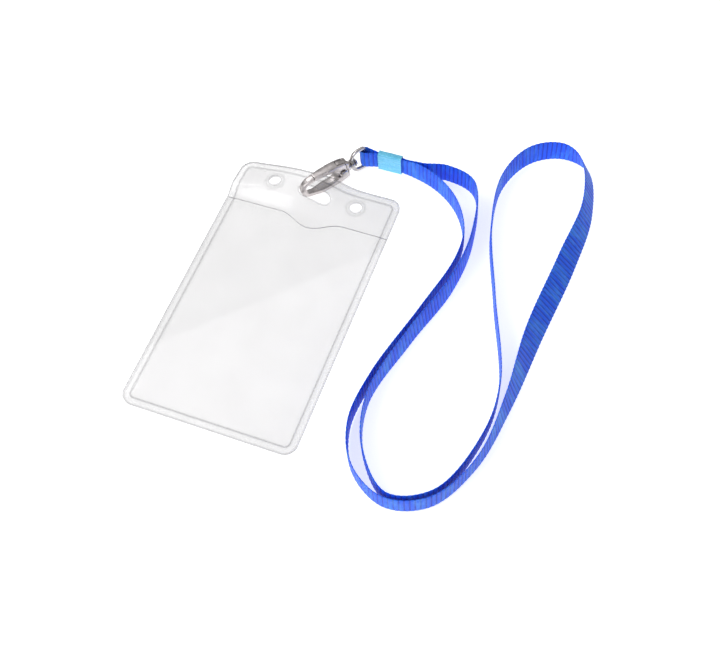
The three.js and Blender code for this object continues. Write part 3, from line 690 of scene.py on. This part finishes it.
def film(name, outline, holes, z, height):
    """A sheet of film: a fine triangle mesh inside its cut edges, raised to its shape and
    given its thickness."""
    loops = [densify(outline)] + [densify(h) for h in holes]
    xs, ys = np.meshgrid(
        np.arange(-pouch_half, pouch_half, GRID), np.arange(-pouch_top, pouch_top, GRID * 0.87)
    )
    xs = xs + (np.arange(len(xs)) % 2)[:, None] * GRID / 2
    edge_points = np.array([p for loop in loops for p in loop])
    guides = clear_of(guide_points(), edge_points, ROW_CLEARANCE)
    points = np.column_stack([xs.ravel(), ys.ravel()])
    points = clear_of(points, np.vstack([edge_points, guides]), GRID * 0.55)
    points = np.vstack([guides, points])
    keep = inside(points[:, 0], points[:, 1], loops[0])
    for loop in loops[1:]:
        keep &= ~inside(points[:, 0], points[:, 1], loop)
    points = points[keep]
    edges, start = [], 0
    for loop in loops:
        count = len(loop)
        edges += [(start + k, start + (k + 1) % count) for k in range(count)]
        start += count
    everything = [Vector(p) for p in edge_points] + [Vector(p) for p in points]
    found = geometry.delaunay_2d_cdt(everything, edges, [], 0, 1e-7)
    flat = np.array([(v.x, v.y) for v in found[0]])
    triangles = np.array([f for f in found[2]])
    centre = flat[triangles].mean(axis=1)
    keep = inside(centre[:, 0], centre[:, 1], loops[0])
    for loop in loops[1:]:
        keep &= ~inside(centre[:, 0], centre[:, 1], loop)
    x, y = flat[:, 0], flat[:, 1]
    level = z + flap_lift(x, y) + height(x, y)
    mesh = bpy.data.meshes.new(name)
    faces = [tuple(int(v) for v in t) for t in triangles[keep]]
    mesh.from_pydata(np.column_stack([x, y, level]).tolist(), [], faces)
    # The line attribute carries the painted shade along the film's creases.
    for kind, value in (("weld", weld_mask(x, y)), ("line", painted_crease_shade_mask(x, y))):
        layer = mesh.attributes.new(kind, "FLOAT", "POINT")
        layer.data.foreach_set("value", value.astype(np.float32))
    made = new_object(name, mesh)
    bm = bmesh.new()
    bm.from_mesh(mesh)
    bmesh.ops.delete(bm, geom=[v for v in bm.verts if not v.link_faces], context="VERTS")
    bmesh.ops.recalc_face_normals(bm, faces=bm.faces)
    if sum(f.normal.z for f in bm.faces) < 0:
        bmesh.ops.reverse_faces(bm, faces=bm.faces)
    bm.to_mesh(mesh)
    bm.free()
    thick = made.modifiers.new("thickness", "SOLIDIFY")
    thick.thickness = VINYL
    thick.offset = 1
    # The rim faces take the cut edge's painted dark shade.
    thick.material_offset_rim = 1
    mesh.materials.append(vinyl)
    mesh.materials.append(vinyl_edge)
    applied(made)
    smooth(made.data, 50)
    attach(made, "badge")
    return made


def vinyl_material():
    n = Nodes("clear_vinyl")
    spot = n.coordinates()
    cloud = n.noise(spot, 45, 1.0)
    speck = n.noise(spot, 900, 2.0, 0.4)
    weld = n.attribute("weld")
    line = n.attribute("line")
    colour = n.mix(weld, (0.56, 0.546, 0.556, 1), (0.63, 0.62, 0.63, 1))
    # Painted shade: along the crease lines the vinyl is coloured dark grey, for the light that the
    # creases bend.
    n.set(n.shader, "Base Color", n.mix(line, colour, (0.30, 0.30, 0.31, 1)))
    facing = n.add("LayerWeight", Blend=0.3).outputs["Facing"]
    alpha = n.math("ADD", n.map(cloud, 0.3, 0.7, 0.116, 0.127), n.math("MULTIPLY", weld, 0.01))
    alpha = n.math("ADD", alpha, n.math("MULTIPLY", facing, 0.05))
    # Painted shade: the crease lines are also made less clear.
    alpha = n.math("ADD", alpha, n.math("MULTIPLY", line, 0.13))
    alpha = n.math("ADD", alpha, n.map(speck, 0.80, 0.84, 0.0, 0.3))
    n.set(n.shader, "Alpha", alpha)
    n.set(n.shader, "Roughness", n.map(cloud, 0.3, 0.7, 0.08, 0.2))
    n.set(n.shader, "Specular IOR Level", 0.55)
    n.set(n.shader, "Coat Weight", 0.5)
    n.set(n.shader, "Coat Roughness", 0.06)
    n.set(n.shader, "Normal", n.bump(cloud, 0.15, 0.1 * MM))
    return n.material


def edge_material():
    n = Nodes("vinyl_cut_edge_painted_dark")
    grain = n.noise(n.coordinates(), 2500, 3.0)
    # Painted shade: the clear film's cut edge is coloured dark grey, for the light that the edge
    # bends away.
    n.set(n.shader, "Base Color", n.mix(grain, (0.14, 0.14, 0.155, 1), (0.26, 0.26, 0.28, 1)))
    n.set(n.shader, "Alpha", n.map(grain, 0.3, 0.7, 0.6, 0.8))
    n.set(n.shader, "Roughness", 0.35)
    return n.material


# ---- metal ----------------------------------------------------------------------------------
def nickel_material(name, light, dark, low, high):
    """Satin plating: faint casting unevenness, fine polishing lines and dulled patches."""
    n = Nodes(name)
    spot = n.coordinates()
    cast = n.noise(spot, 420, 3.0)
    lines = n.noise(n.stretched(spot, (900, 900, 9000)), 1.0, 2.0)
    dull = n.noise(spot, 1400, 4.0, 0.65)
    n.set(n.shader, "Base Color", n.mix(n.map(cast, 0.35, 0.68, 0.0, 1.0), dark, light))
    n.set(n.shader, "Metallic", 1.0)
    roughness = n.math("ADD", n.map(dull, 0.3, 0.7, low, high), n.math("MULTIPLY", lines, 0.05))
    n.set(n.shader, "Roughness", roughness)
    normal = n.bump(cast, 0.18, 0.12 * MM)
    normal = n.bump(lines, 0.10, 0.02 * MM, normal)
    n.set(n.shader, "Normal", n.bump(dull, 0.10, 0.02 * MM, normal))
    return n.material


def refined(name, node, body, material, bevel=0.12):
    """The CAD node's own shape with its sharp edges broken, in place of the node."""
    mesh = frame["nodes"][node].data.copy()
    mesh.name = name
    bm = bmesh.new()
    bm.from_mesh(mesh)
    bmesh.ops.remove_doubles(bm, verts=bm.verts, dist=0.004 * MM)
    bmesh.ops.dissolve_limit(bm, angle_limit=math.radians(0.6), verts=bm.verts, edges=bm.edges)
    bm.to_mesh(mesh)
    bm.free()
    mesh.materials.clear()
    mesh.materials.append(material)
    made = new_object(name, mesh)
    edge = made.modifiers.new("edge", "BEVEL")
    edge.width = bevel * MM
    edge.segments = 2
    edge.limit_method = "ANGLE"
    edge.angle_limit = math.radians(32)
    edge.use_clamp_overlap = True
    applied(made)
    smooth(made.data, 38)
    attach(made, body)
    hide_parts(node)
    return made


# ---- build ----------------------------------------------------------------------------------
strap, strap_path, strap_length = make_strap()
strap.data.materials.append(webbing_material())
crimp = make_crimp()
crimp.data.materials.append(crimp_material())
strap_pieces = ((strap, "lanyard_strap", "blue_webbing"), (crimp, "strap_crimp", "blue_crimp"))
for piece, node, slot in strap_pieces:
    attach(piece, "strap")
    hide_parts(node)

vinyl = vinyl_material()
vinyl_edge = edge_material()
outline = pouch_end(True) + pouch_end(False)
back = film("pouch_back_film", outline, punched_holes(), back_low.z, back_height)
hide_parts("badge_back_sheet")
panel = film("pouch_front_film", mouth_edge(0) + pouch_end(False), [], front_z, front_height)
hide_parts("badge_front_panel")
header_outline = mouth_edge(MOUTH_GAP)[::-1] + pouch_end(True)
header = film("pouch_header_film", header_outline, punched_holes(), front_z, front_height)
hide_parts("badge_header_strip")

satin = nickel_material("satin_nickel", (0.62, 0.58, 0.575, 1), (0.50, 0.465, 0.46, 1), 0.22, 0.34)
bright = nickel_material("bright_nickel", (0.58, 0.55, 0.545, 1), (0.40, 0.38, 0.37, 1), 0.14, 0.26)
steel = nickel_material("spring_steel", (0.60, 0.59, 0.58, 1), (0.48, 0.47, 0.46, 1), 0.2, 0.34)
refined("hook_casting", "hook_body", "hook", satin)
refined("gate_casting", "hook_gate", "gate", satin)
refined("gate_pin", "gate_rivet", "hook", bright, 0.08)
refined("gate_leaf", "gate_spring", "gate", steel, 0.04)
refined("swivel_pin", "swivel_stud", "hook", bright, 0.08)
refined("swivel_hoop", "swivel_ring", "ring", bright)


# ---- floor, light and sky -------------------------------------------------------------------
FLOOR_HALF = 15.0
FLOOR_LEVEL = -0.2 * MM


def make_floor():
    mesh = bpy.data.meshes.new("floor")
    turns = ((-1, -1), (1, -1), (1, 1), (-1, 1))
    corners = [(x * FLOOR_HALF, y * FLOOR_HALF, FLOOR_LEVEL) for x, y in turns]
    mesh.from_pydata(corners, [], [(0, 1, 2, 3)])
    floor = new_object("floor", mesh)
    n = Nodes("floor")
    n.set(n.shader, "Base Color", (0.90, 0.90, 0.90, 1))
    n.set(n.shader, "Roughness", 0.8)
    n.set(n.shader, "Specular IOR Level", 0.1)
    n.set(n.shader, "Emission Color", (1, 1, 1, 1))
    n.set(n.shader, "Emission Strength", 0.66)
    mesh.materials.append(n.material)


def make_light(name, place, target, size, power, colour=(1, 1, 1)):
    data = bpy.data.lights.new(name, "AREA")
    data.energy = power
    data.size = size
    data.color = colour
    light = bpy.data.objects.new(name, data)
    light.location = place
    light.rotation_mode = "QUATERNION"
    light.rotation_quaternion = (Vector(target) - Vector(place)).to_track_quat("-Z", "Y")
    bpy.context.scene.collection.objects.link(light)


def make_sky():
    """An even studio: bright overhead, darker towards the horizon."""
    world = bpy.data.worlds.new("studio")
    world.use_nodes = True
    bpy.context.scene.world = world
    tree = world.node_tree
    background = tree.nodes["Background"]
    direction = tree.nodes.new("ShaderNodeTexCoord")
    split = tree.nodes.new("ShaderNodeSeparateXYZ")
    ramp = tree.nodes.new("ShaderNodeValToRGB")
    tree.links.new(direction.outputs["Generated"], split.inputs[0])
    tree.links.new(split.outputs["Z"], ramp.inputs["Fac"])
    tree.links.new(ramp.outputs["Color"], background.inputs["Color"])
    ramp.color_ramp.elements[0].position = 0.05
    ramp.color_ramp.elements[0].color = (0.26, 0.26, 0.27, 1)
    ramp.color_ramp.elements[1].position = 0.55
    ramp.color_ramp.elements[1].color = (1, 1, 1, 1)
    background.inputs["Strength"].default_value = 0.45


bpy.context.scene.view_settings.view_transform = "Standard"
make_floor()
make_sky()
middle = (cad_low + cad_high) / 2
make_light("key", (-0.45, -0.55, 0.65), middle, 0.6, 5.0)
make_light("fill", (0.5, 0.6, 0.7), middle, 0.7, 0.6)
make_light("glint", (-0.6, 0.2, 0.75), middle, 0.25, 1.2)
make_light("high_glint", (-0.32, 0.42, 0.8), middle, 0.4, 0.4)
